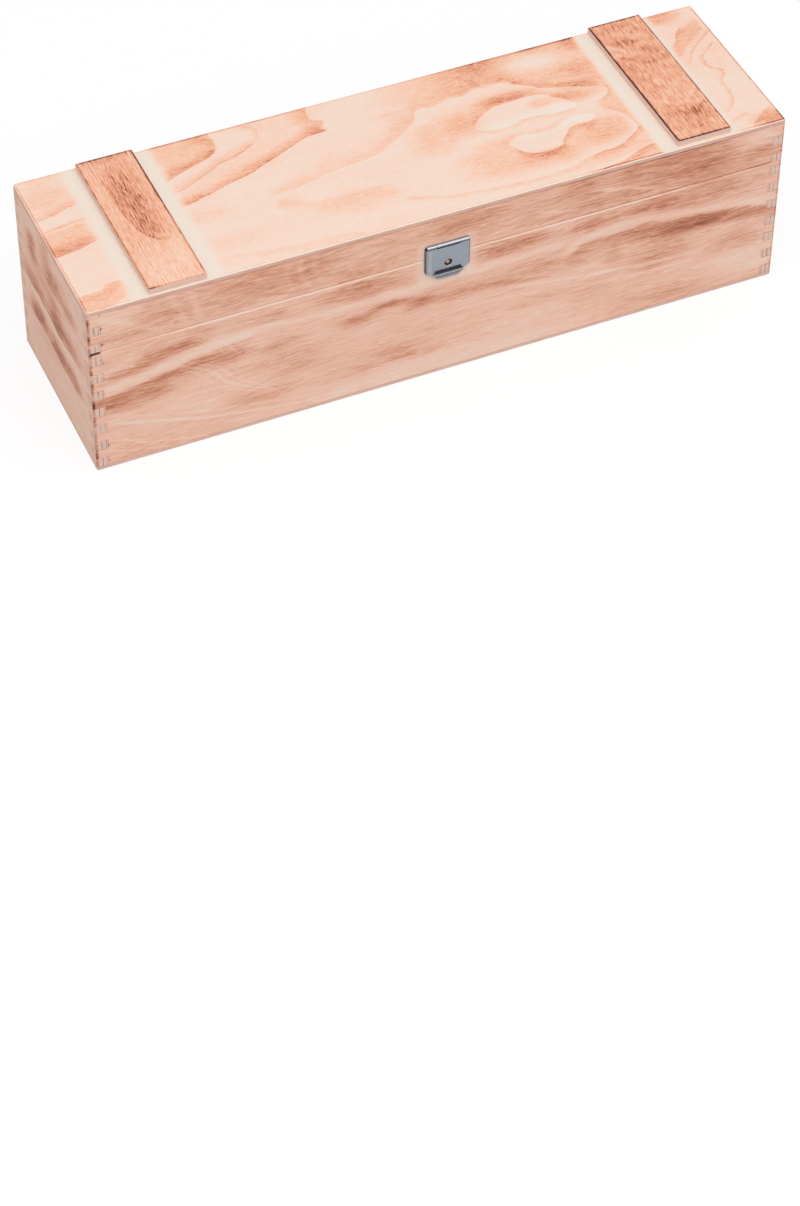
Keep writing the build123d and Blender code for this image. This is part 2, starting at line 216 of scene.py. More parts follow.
def addLine(tree, place, line):
    # A growth line: its dark side fades away softly, and its other side is sharp
    turned = line.get("turned", False)
    along = add(tree, "SeparateXYZ", (place,), output=1 if turned else 0)
    across = along.node.outputs[0 if turned else 1]
    course, start, end = curveAt(tree, along, line["points"])
    off = add(tree, "Math", (across, course), operation="SUBTRACT")
    over = add(
        tree, "MapRange", (off, 0, line.get("over", 0.6), line["tone"], 0),
        interpolation_type="SMOOTHSTEP",
    )
    under = add(
        tree, "MapRange", (off, -line.get("under", 0.6), 0, 0, 1),
        interpolation_type="SMOOTHSTEP",
    )
    strength = add(tree, "Math", (over, under), operation="MULTIPLY")
    if "rim" in line:        # a thin dark line right on the sharp side
        near = add(tree, "Math", (off,), operation="ABSOLUTE")
        rim = add(tree, "MapRange", (near, 0.15, 0.6, line["rim"], 0))
        strength = add(tree, "Math", (strength, rim), operation="ADD")
    opening, closing = line.get("tapers", (3, 3))
    opening = add(tree, "MapRange", (along, start, start + opening, 0, 1))
    closing = add(tree, "MapRange", (along, end - closing, end, 1, 0))
    strength = add(tree, "Math", (strength, opening), operation="MULTIPLY")
    strength = add(tree, "Math", (strength, closing), operation="MULTIPLY")
    if "pitch" in line:      # a family of thin parallel lines
        ring = add(tree, "Math", (off, line["pitch"] / 2), operation="PINGPONG")
        ring = add(
            tree, "MapRange", (ring, 0, line["pitch"] * 0.35, 1, 0),
            interpolation_type="SMOOTHSTEP",
        )
        strength = add(tree, "Math", (strength, ring), operation="MULTIPLY")
    return strength


def addZone(tree, place, zone):
    # The wood between two growth lines
    turned = zone.get("turned", False)
    along = add(tree, "SeparateXYZ", (place,), output=1 if turned else 0)
    across = along.node.outputs[0 if turned else 1]
    upper, start, end = curveAt(tree, along, zone["upper"])
    lower, start, end = curveAt(tree, along, zone["lower"])
    above = add(tree, "Math", (upper, across), operation="SUBTRACT")
    below = add(tree, "Math", (across, lower), operation="SUBTRACT")
    inside = add(tree, "Math", (above, below), operation="MINIMUM")
    strength = add(tree, "MapRange", (inside, -0.3, zone.get("soft", 0.6), 0, zone["tone"]))
    opening, closing = zone.get("tapers", (0.2, 0.2))
    opening = add(tree, "MapRange", (along, start, start + opening, 0, 1))
    closing = add(tree, "MapRange", (along, end - closing, end, 1, 0))
    strength = add(tree, "Math", (strength, opening), operation="MULTIPLY")
    return add(tree, "Math", (strength, closing), operation="MULTIPLY")


def addSpot(tree, place, spot):
    # A soft oval: its middle along and across, its reach along and across, and its tone
    u, v, length, width, tone = spot
    off = add(tree, "VectorMath", (place, (u, v, 0)), operation="SUBTRACT")
    off = add(tree, "VectorMath", (off, (1 / length, 1 / width, 0)), operation="MULTIPLY")
    far = add(tree, "VectorMath", (off,), output="Value", operation="LENGTH")
    return add(tree, "MapRange", (far, 0.15, 1.1, tone, 0), interpolation_type="SMOOTHSTEP")


def addShelter(tree, place, shelter):
    # What is left of the flame beside a rectangle that kept it off
    off = add(tree, "VectorMath", (place, (*shelter["at"], 0)), operation="SUBTRACT")
    off = add(tree, "VectorMath", (off,), operation="ABSOLUTE")
    off = add(tree, "VectorMath", (off, (*shelter["half"], 0)), operation="SUBTRACT")
    off = add(tree, "VectorMath", (off, (0, 0, 0)), operation="MAXIMUM")
    far = add(tree, "VectorMath", (off,), output="Value", operation="LENGTH")
    return add(
        tree, "MapRange", (far, *shelter["fade"], shelter.get("left", 0), 1),
        interpolation_type="SMOOTHSTEP",
    )


def streaks(tree, place, length, width, seed, detail=3):
    # Noise drawn out along the grain, about -1 to 1
    stretched = add(
        tree, "VectorMath", (place, (1 / length, 1 / width, 1 / width)), operation="MULTIPLY"
    )
    noise = add(
        tree, "TexNoise",
        {"Vector": stretched, "W": seed, "Scale": 1.0, "Detail": detail, "Roughness": 0.6},
        noise_dimensions="4D",
    )
    return add(tree, "MapRange", (noise, 0.3, 0.7, -1, 1))


def warp(tree, place, length, width, shift, seed):
    # Moves the figure about, by up to about the shift along and across
    stretched = add(
        tree, "VectorMath", (place, (1 / length, 1 / width, 1)), operation="MULTIPLY"
    )
    noise = add(
        tree, "TexNoise",
        {"Vector": stretched, "W": seed, "Scale": 1.0, "Detail": 3, "Roughness": 0.6},
        output="Color", noise_dimensions="4D",
    )
    noise = add(tree, "VectorMath", (noise, (0.5, 0.5, 0.5)), operation="SUBTRACT")
    noise = add(
        tree, "VectorMath", (noise, (4 * shift[0], 4 * shift[1], 0)), operation="MULTIPLY"
    )
    return add(tree, "VectorMath", (place, noise), operation="ADD")


def addComb(tree, along, height, look, patches):
    # The comb joint's dark lines round the fingers, and the scorched upright corner
    above = add(tree, "Math", (height, comb["seam"]), operation="GREATER_THAN")
    run = add(tree, "Math", (above, comb["kerf"], height), operation="MULTIPLY_ADD")
    run = add(tree, "Math", (run, comb["start"]), operation="SUBTRACT")
    turn = add(tree, "Math", (run, comb["pitch"]), operation="FLOORED_MODULO")
    order = "LESS_THAN" if look["combStartsWith"] == "socket" else "GREATER_THAN"
    socket = add(tree, "Math", (turn, comb["pitch"] / 2), operation=order)

    side = add(tree, "Math", (along,), operation="ABSOLUTE")
    inward = add(tree, "Math", (look["half"], side), operation="SUBTRACT")
    near = add(tree, "Math", (inward, comb["wall"]), operation="SUBTRACT")
    near = add(tree, "Math", (near,), operation="ABSOLUTE")
    ends = add(tree, "MapRange", (near, *comb["socketLine"], 1, 0))
    ends = add(tree, "Math", (ends, socket), operation="MULTIPLY")
    near = add(tree, "Math", (run, comb["pitch"] / 4), operation="PINGPONG")
    flanks = add(tree, "MapRange", (near, *comb["fingerLine"], comb["fingerTone"], 0))
    within = add(tree, "Math", (inward, comb["wall"]), operation="LESS_THAN")
    flanks = add(tree, "Math", (flanks, within), operation="MULTIPLY")
    gaps = add(tree, "Math", (ends, flanks), operation="MAXIMUM")
    gaps = add(tree, "Math", (gaps, patches), operation="MULTIPLY")

    corner = add(
        tree, "MapRange", (inward, *comb["corner"], 1, 0), interpolation_type="SMOOTHSTEP"
    )
    scorch = add(tree, "MapRange", (along, -look["half"], look["half"], *look["corners"]))
    finger = add(tree, "MapRange", (socket, 0, 1, 1, comb["cornerOnSockets"]))
    corner = add(tree, "Math", (corner, scorch), operation="MULTIPLY")
    corner = add(tree, "Math", (corner, finger), operation="MULTIPLY")
    corner = add(tree, "Math", (corner, patches), operation="MULTIPLY")
    return gaps, corner


def addWood(name, look):
    material, tree = newMaterial(name)
    seed = look["seed"]
    spot = add(tree, "TexCoord", output="Object")
    facing = spot.node.outputs["Normal"]
    spot = add(tree, "VectorMath", (spot, (1 / mm, 1 / mm, 1 / mm)), operation="MULTIPLY")

    # the face's own coordinates: along the grain, across it, and the depth under the face
    along, across, level = [
        add(tree, "VectorMath", (spot, axis), output="Value", operation="DOT_PRODUCT")
        for axis in (look["along"], look["across"], look["outward"])
    ]
    depth = add(tree, "Math", (look["face"], level), operation="SUBTRACT")
    place = add(tree, "CombineXYZ", (along, across, 0))
    outside = add(
        tree, "VectorMath", (facing, look["outward"]), output="Value", operation="DOT_PRODUCT"
    )

    figure = place
    for i, (length, width, shift) in enumerate(look["warps"]):
        figure = warp(tree, figure, length, width, shift, seed + i)
    flame = look["tone"]
    for kind, shapes in (
        (addLine, look.get("lines", ())),
        (addZone, look.get("zones", ())),
        (addSpot, look.get("spots", ())),
    ):
        for shape in shapes:
            flame = add(tree, "Math", (flame, kind(tree, figure, shape)), operation="ADD")

    # streaks, stronger where the flame went deep
    grain = warp(tree, figure, *look["drift"], seed + 7)
    force = add(tree, "Math", (flame, look["streakGain"], 0.5), operation="MULTIPLY_ADD")
    for length, width, weight in look["streaks"]:
        wave = streaks(tree, grain, length, width, seed + length)
        wave = add(tree, "Math", (wave, weight), operation="MULTIPLY")
        flame = add(tree, "Math", (wave, force, flame), operation="MULTIPLY_ADD")
    for shelter in look.get("shelters", ()):
        flame = add(tree, "Math", (flame, addShelter(tree, place, shelter)), operation="MULTIPLY")

    # marks that keep to the board's edges
    ragged = warp(tree, place, 5, 5, woodSkin["ragged"], seed + 9)
    for mark in look.get("marks", ()):
        flame = add(tree, "Math", (flame, addLine(tree, ragged, mark)), operation="ADD")
    for dot in look.get("dots", ()):
        flame = add(tree, "Math", (flame, addSpot(tree, ragged, dot)), operation="ADD")
    patches = streaks(tree, spot, woodSkin["patches"], woodSkin["patches"], seed + 15)
    patches = add(tree, "MapRange", (patches, -0.6, 0.8, *woodSkin["patchRange"]))
    gaps = 0.0
    if "combStartsWith" in look:
        gaps, corner = addComb(tree, along, across, look, patches)
        flame = add(
            tree, "Math", (gaps, woodSkin["jointTone"], flame), operation="MULTIPLY_ADD"
        )
        flame = add(tree, "Math", (flame, corner), operation="ADD")
    flame = add(tree, "Math", (flame, 1 / woodSkin["scaleEnd"]), operation="MULTIPLY")
    flamed = add(tree, "ValToRGB", (flame,), stops=look["scale"])

    # edges: the plies show as layers, with thin dark glue lines
    layer = streaks(tree, spot, *woodSkin["edgeGrain"], seed + 20)
    layer = add(
        tree, "Math", (layer, woodSkin["edgeGrainTone"], look["edgeTone"]),
        operation="MULTIPLY_ADD",
    )
    layer = add(
        tree, "Math", (gaps, woodSkin["jointEdgeTone"], layer), operation="MULTIPLY_ADD"
    )
    for glue, dark in look["glueLines"]:
        near = add(tree, "Math", (depth, glue), operation="SUBTRACT")
        near = add(tree, "Math", (near,), operation="ABSOLUTE")
        near = add(tree, "MapRange", (near, *woodSkin["glueLine"], dark, 0))
        near = add(tree, "Math", (near, patches), operation="MULTIPLY")
        layer = add(tree, "Math", (layer, near), operation="ADD")
    edge = add(tree, "ValToRGB", (layer,), stops=plies)

    # the inner face was never flamed
    bare = streaks(tree, place, *woodSkin["bareGrain"], seed + 30)
    bare = add(tree, "MapRange", (bare, -1, 1, 0, 1))
    bare = add(tree, "ValToRGB", (bare,), stops=bareVeneer)
    inside = add(tree, "MapRange", (outside, -0.8, -0.95, 0, 1))
    skin = add(tree, "MapRange", (outside, 0.3, 0.6, 0, 1))
    colour = add(tree, "Mix", {0: inside, 6: edge, 7: bare}, output=2, data_type="RGBA")
    colour = add(tree, "Mix", {0: skin, 6: colour, 7: flamed}, output=2, data_type="RGBA")

    # the grain that brushing raised
    relief = streaks(tree, grain, *woodSkin["raisedGrain"], seed + 40)
    bump = add(
        tree, "Bump",
        {"Strength": woodSkin["reliefStrength"], "Distance": woodSkin["relief"] * mm,
         "Height": relief},
    )
    rough = add(tree, "MapRange", (relief, -1, 1, *woodSkin["roughness"]))
    shade = add(
        tree, "BsdfPrincipled", {"Base Color": colour, "Roughness": rough, "Normal": bump}
    )
    add(tree, "OutputMaterial", {"Surface": shade})
    return material


# Glue lines between the plies: depth under the face in mm, and darkness
boardEdges = [(0.8, 0.7), (3.05, 0.75), (5.3, 0.55)]
panelEdges = [(0.25, -0.3), (1.9, 0.15)]
battenEdges = [(1.0, 0.15), (2.1, 0.2)]

# Flamed plywood on top: brown growth rings round two pale islands, unscorched bands by the battens
topFace = {
    "along": (1, 0, 0), "across": (0, 1, 0), "outward": (0, 0, 1), "face": 96,
    "seed": 3,
    "scale": panelFlame,
    "tone": 0.13,
    "edgeTone": 0.3,
    "glueLines": panelEdges,
    "warps": [(12, 8, (0.7, 0.4)), (2.5, 1.5, (0.3, 0.2))],    # mm: length, width and shift
    "drift": (60, 30, (4, 2)),
    "streakGain": 3,
    "streaks": [(45, 14, 0.04), (14, 4, 0.03), (6, 1, 0.085), (2, 0.8, 0.075)],
    "lines": [
        # rings at the left, behind the left batten's pale band
        {"points": [(-112, 21.5), (-105, 24.5), (-97, 27.8), (-90, 30), (-84, 32.5), (-80, 36.5)],
         "tone": 0.24, "over": 8, "rim": 0.14},
        {"turned": True, "tone": 0.16, "under": 8,
         "points": [(30, -85), (33, -82), (37, -79.5), (41, -79), (45, -81), (49.5, -87)]},
        {"points": [(-112, 14), (-106, 14.6), (-100, 16.5), (-94, 19.5), (-88, 22.3),
                    (-84, 24.8), (-78, 26.5), (-70, 29), (-66, 31.5), (-61, 34)],
         "tone": 0.22, "over": 7, "under": 0.5, "rim": 0.2},
        {"turned": True, "tone": 0.2, "under": 5,
         "points": [(33, -62.5), (36, -59), (39, -57.5), (42, -57), (45, -59), (49.5, -62)]},
        {"points": [(-112, 2.8), (-105, 3.8), (-100, 5.5), (-95, 6.8), (-90, 8.2), (-80, 11.3),
                    (-71, 13.5), (-65, 16.5), (-60, 18.5), (-50, 22.5), (-42, 26.5),
                    (-36, 28.5), (-27, 28.5)],
         "tone": 0.3, "over": 8, "rim": 0.2},
        {"turned": True, "tone": 0.2, "under": 12, "over": 0.7,
         "points": [(27, -27), (29, -26.5), (31, -30), (33, -27.5), (36, -26), (38, -30),
                    (42, -31.5), (45, -30.5), (49.5, -29)]},
        {"points": [(-71, -6), (-60, -5), (-48, -3), (-40, -0.5), (-30, 0.8), (-20, 2),
                    (-12, 3.8), (-5, 7), (2, 10.5)],
         "tone": 0.14, "over": 8, "tapers": (4, 8)},
        {"points": [(-6, 6.5), (0, 9.5), (5, 13), (10, 16.5), (13, 18.5), (15.5, 22), (18, 26),
                    (21, 27), (25, 25.8), (30, 26.5), (35, 28), (43, 27.5), (48, 30), (55, 29.5),
                    (60, 30), (66, 28), (70, 26), (74, 23)],
         "tone": 0.17, "over": 14, "tapers": (8, 4)},
        {"points": [(66, 28), (74, 23), (80, 18.5), (85, 16.5), (92, 14.5), (100, 11.5),
                    (107, 8.5)],
         "tone": 0.23, "over": 5, "rim": 0.14},
        {"turned": True, "tone": 0.29, "over": 4,
         "points": [(-2, 98), (0, 104), (3, 107), (6, 108.6), (10, 105)]},
        {"points": [(-70, -7), (-66, -11), (-60, -14), (-53, -17), (-45, -18.5), (-35, -19.5),
                    (-22, -19), (-13, -20.5)],
         "tone": 0.11, "under": 12, "over": 1.2},
        {"points": [(-14, -31), (-5, -34), (0, -36), (10, -38.5), (20, -40), (30, -41),
                    (40, -42.2), (50, -42.8), (60, -42.2), (70, -40.5), (80, -37.6),
                    (92, -36.5), (100, -33.3), (108, -28)],
         "tone": 0.16, "under": 4},
        {"points": [(78, -38.5), (85, -37), (92, -36.5), (100, -33.3), (106, -29.5), (112, -24)],
         "tone": 0.18, "under": 5, "rim": 0.14},
        {"turned": True, "tone": 0.21, "over": 4,
         "points": [(-31, 105.5), (-26, 108.8), (-20, 108.5), (-14, 106.5), (-10, 103), (-6, 96)]},
        # outlines of the two pale islands
        {"points": [(37, 2.5), (38, 4.5), (41, 8), (46, 11.5), (52, 14), (58, 14.8), (65, 15.2),
                    (72, 15.3), (78, 13.5), (82, 10), (86, 6), (89.5, 2)],
         "tone": 0.17, "over": 8},
        {"points": [(37, 2), (38.5, 0.5), (41, -1.2), (45, -2.5), (51, -2.9), (57, -1.8),
                    (63, -0.3), (70, -0.8), (78, -2), (84, -2), (90, 0)],
         "tone": 0.14, "under": 4},
        {"points": [(46.5, -15.5), (48, -13), (50, -11.5), (55, -10.3), (60, -11.3), (66, -12),
                    (72, -11.2), (78, -8.6), (84, -6.8), (90, -7.4), (94, -10.5)],
         "tone": 0.09, "over": 4},
        {"points": [(46.5, -15.5), (49, -19), (53, -24), (58, -26.3), (64, -26.5), (69, -25.5),
                    (72, -22), (75, -18.5), (79, -14.8), (84, -13.7), (89, -14.2), (94, -11)],
         "tone": 0.23, "under": 7},
        {"points": [(72, -49), (80, -48.5), (90, -47), (97, -44.5), (103, -42), (112, -40.3)],
         "tone": 0.25, "under": 6, "rim": 0.16},
        {"points": [(-112, -38), (-95, -39), (-85, -41), (-70, -42.5), (-50, -44), (-38, -48.5)],
         "tone": 0.09, "under": 7, "over": 1},
        # the two ends, beyond the battens
        {"points": [(-176, 18.5), (-160, 22.5), (-150, 26)], "tone": 0.24, "over": 6, "rim": 0.12},
        {"points": [(-176, 9.5), (-160, 12), (-150, 13)], "tone": 0.24, "over": 3, "rim": 0.1},
        {"points": [(-176, -7.5), (-165, -6.7), (-157, -4.5), (-150, -2.3)],
         "tone": 0.28, "over": 10, "rim": 0.15},
        {"points": [(-176, -38), (-163, -37), (-160, -34.5), (-150, -34)],
         "tone": 0.18, "under": 9, "rim": 0.16},
        {"points": [(149, 19), (155, 25.5), (158, 31), (164, 36)],
         "tone": 0.23, "under": 6, "rim": 0.12},
        {"turned": True, "tone": 0.2, "under": 3, "over": 1, "rim": 0.12,
         "points": [(-33, 152), (-28, 158), (-20, 161), (-12, 161), (-4, 165), (2, 161),
                    (8, 161), (15, 168), (20, 173)]},
        {"points": [(152, 0), (154, 8), (160, 16), (167, 22), (176, 28)], "tone": 0.22, "over": 3},
        {"points": [(149, -42), (156, -38), (163, -37)], "tone": 0.22, "under": 3},
        {"points": [(158, -48), (165, -42), (176, -35)], "tone": 0.2, "under": 4},
    ],
    "zones": [
        {"tone": 0.24, "upper": [(-116, 58), (-100, 58), (-79, 58)],
         "lower": [(-116, 20), (-105, 24.5), (-97, 27.8), (-90, 30), (-84, 32.5), (-80, 37),
                   (-79, 41)]},
        {"turned": True, "tone": 0.08,
         "upper": [(2.8, -112), (5.5, -100), (8.2, -90), (11.3, -80), (13.5, -71), (16.5, -65),
                   (18.5, -60), (22.5, -50), (26.5, -42), (28.3, -36), (29, -27), (33, -27.5),
                   (36, -26), (38, -30), (42, -31.5), (45, -30.5), (51, -29)],
         "lower": [(2.8, -114), (8, -118), (13, -116), (14.6, -106), (16.5, -100), (19.5, -94),
                   (22.3, -88), (24.8, -84), (26.5, -78), (29, -70), (31.5, -66), (34, -61),
                   (38, -57.5), (42, -57), (46, -59), (51, -63)]},
        {"tone": 0.06, "soft": 6, "tapers": (14, 12),
         "upper": [(-70, -2), (-45, 12), (-20, 16), (-5, 22), (5, 30), (15, 40)],
         "lower": [(-70, -6), (-48, -3), (-30, 0.8), (-12, 3.8), (2, 10.5), (15, 22)]},
        {"tone": 0.25, "soft": 2, "tapers": (40, 0.2),
         "upper": [(-2, 58), (116, 58)],
         "lower": [(-2, 8.5), (5, 13), (10, 16.5), (13, 18.5), (15.5, 22), (18, 26), (21, 27),
                   (25, 25.8), (35, 28), (43, 27.5), (48, 30), (60, 30), (70, 26), (74, 23),
                   (80, 18.5), (85, 16.5), (92, 14.5), (100, 11.5), (107, 8.5), (116, 4)]},
        {"turned": True, "tone": 0.2, "soft": 3, "tapers": (3, 0.2),
         "upper": [(-32, 122), (9, 122)],
         "lower": [(-32, 104), (-26, 108.8), (-20, 108.5), (-14, 106.5), (-10, 103), (-6, 98),
                   (-2, 99), (2, 106), (6, 108.6), (9, 108)]},
        {"tone": 0.2, "soft": 9, "tapers": (12, 6),
         "upper": [(0, 6), (14, 18), (40, 24), (62, 26), (80, 18), (92, 13), (100, 10)],
         "lower": [(0, -12), (20, -12), (38, -3), (50, -4), (70, -2), (90, 0), (100, 0)]},
        {"tone": 0.2, "soft": 7, "tapers": (20, 4),
         "upper": [(10, -14), (30, -10), (47, -6), (60, -9), (84, -7), (96, -8), (108, -16)],
         "lower": [(10, -32), (30, -38), (60, -39), (80, -36), (96, -34), (108, -28)]},
        # the two pale islands
        {"tone": -0.2, "soft": 1.2,
         "upper": [(37, 2.5), (38, 4.5), (41, 8), (46, 11.5), (52, 14), (58, 14.8), (65, 15.2),
                   (72, 15.3), (78, 13.5), (82, 10), (86, 6), (90, 1.5)],
         "lower": [(37, 2), (38.5, 0.5), (41, -1.2), (45, -2.5), (51, -2.9), (57, -1.8),
                   (63, -0.3), (70, -0.8), (78, -2), (84, -2), (90, 0)]},
        {"tone": -0.2, "soft": 1.2,
         "upper": [(46.5, -15.5), (48, -13), (50, -11.5), (55, -10.3), (60, -11.3), (66, -12),
                   (72, -11.2), (78, -8.6), (84, -6.8), (90, -7.4), (94, -10.5)],
         "lower": [(46.5, -15.5), (49, -19), (53, -24), (58, -26.3), (64, -26.5), (69, -25.5),
                   (72, -22), (75, -18.5), (79, -14.8), (84, -13.7), (89, -14.2), (94, -11)]},
        # the ends and the front edge
        {"tone": 0.25, "soft": 1.5, "tapers": (1, 8),
         "upper": [(-176, 9.5), (-160, 11), (-150, 13)],
         "lower": [(-176, -7.5), (-165, -6.7), (-157, -4.5), (-150, -2.3)]},
        {"tone": 0.24, "soft": 2, "tapers": (1, 6),
         "upper": [(-176, -38), (-163, -37), (-160, -34.5), (-150, -34)],
         "lower": [(-176, -56), (-150, -44)]},
        {"tone": 0.2, "soft": 1.5, "tapers": (22, 0.2),
         "upper": [(70, -49), (80, -48.3), (90, -47), (97, -44.5), (103, -42), (116, -39.5)],
         "lower": [(70, -56), (116, -56)]},
        {"tone": 0.16, "soft": 2.5, "tapers": (20, 0.2),
         "upper": [(60, -42.4), (80, -37.8), (92, -36.7), (100, -33.5), (108, -28.2), (116, -22)],
         "lower": [(60, -48), (80, -46), (97, -43.5), (116, -38)]},
        {"tone": 0.22, "soft": 3,
         "upper": [(149, 17), (155, 25), (158, 31), (164, 36), (172, 40)],
         "lower": [(149, 10), (158, 18), (166, 24), (172, 28)]},
    ],
    "spots": [
        (-100, 29, 16, 5, 0.08), (-87, 46, 10, 6, 0.08), (-66, 18, 18, 6, 0.08),
        (-102, 6, 15, 4, 0.1), (-33, 38, 8, 16, 0.12), (-62, 47, 10, 5, 0.08),
        (-33, -25, 26, 11, 0.12), (-63, -13, 10, 6, 0.08),
        (-102, -7, 20, 8, 0.1), (-98, -28, 24, 8, 0.1), (0, 28, 17, 4, 0.08),
        (60, 18.3, 19, 5, 0.27), (93, 8, 17, 8, 0.26), (93, -23, 15, 10, 0.2),
        (58, -29, 19, 6, 0.16), (68, -33, 10, 7, 0.1), (35, 5, 13, 12, 0.14), (74, 8, 9, 5, 0.22),
        (53, 42, 22, 14, 0.16), (58, 46, 13, 8, 0.13), (103, 27, 14, 9, 0.2),
        (98, 15, 17, 4, 0.22), (108, 45, 9, 8, 0.32), (87, 48, 10, 4, 0.14),
        (82, 39, 20, 9, -0.26), (92, 34, 14, 8, -0.1), (-165, 34, 20, 14, 0.16),
        (-165, 47, 16, 6, 0.08), (157, 46, 13, 8, 0.4), (152, 12, 6, 12, 0.1),
        (172, -46, 16, 9, 0.5), (166, 15, 16, 34, 0.09),
    ],
    "shelters": [
        {"at": (-130.5, 0), "half": (19, 60), "fade": (0, 6)},
        {"at": (130.5, 0), "half": (18, 60), "fade": (0, 4)},
    ],
    "marks": [
        {"points": [(-175, 48.9), (-130, 48.9), (0, 49), (100, 48.9), (175, 48.9)],
         "tone": 0.28, "under": 1.6, "over": 3},
        {"points": [(-112, 48.9), (-70, 48.9), (-28, 48.9)],
         "tone": 0.25, "under": 1.6, "over": 3},
        {"points": [(60, 48.9), (90, 48.9), (112, 48.9)],
         "tone": 0.3, "under": 2.2, "over": 3, "tapers": (30, 2)},
        {"points": [(-175, -48.4), (-60, -48.4), (60, -48.4), (175, -48.4)],
         "tone": 0.2, "over": 0.5, "under": 0.4},
        {"points": [(60, -48.3), (90, -48.3), (112, -48.3)],
         "tone": 0.45, "over": 0.9, "under": 0.4, "tapers": (25, 2)},
        {"points": [(149, -48.3), (165, -48.3), (176, -48.3)],
         "tone": 0.5, "over": 1, "under": 0.4, "tapers": (12, 1)},
        {"points": [(-176, -49.1), (0, -49.1), (176, -49.1)],
         "tone": -0.3, "over": 0.5, "under": 2},
        {"turned": True, "tone": 0.65, "under": 0.9, "over": 2,
         "points": [(-49, 174.6), (49, 174.6)]},
        {"turned": True, "tone": 0.5, "under": 0.3, "over": 0.8,
         "points": [(-49, -174.3), (49, -174.3)]},
    ],
}

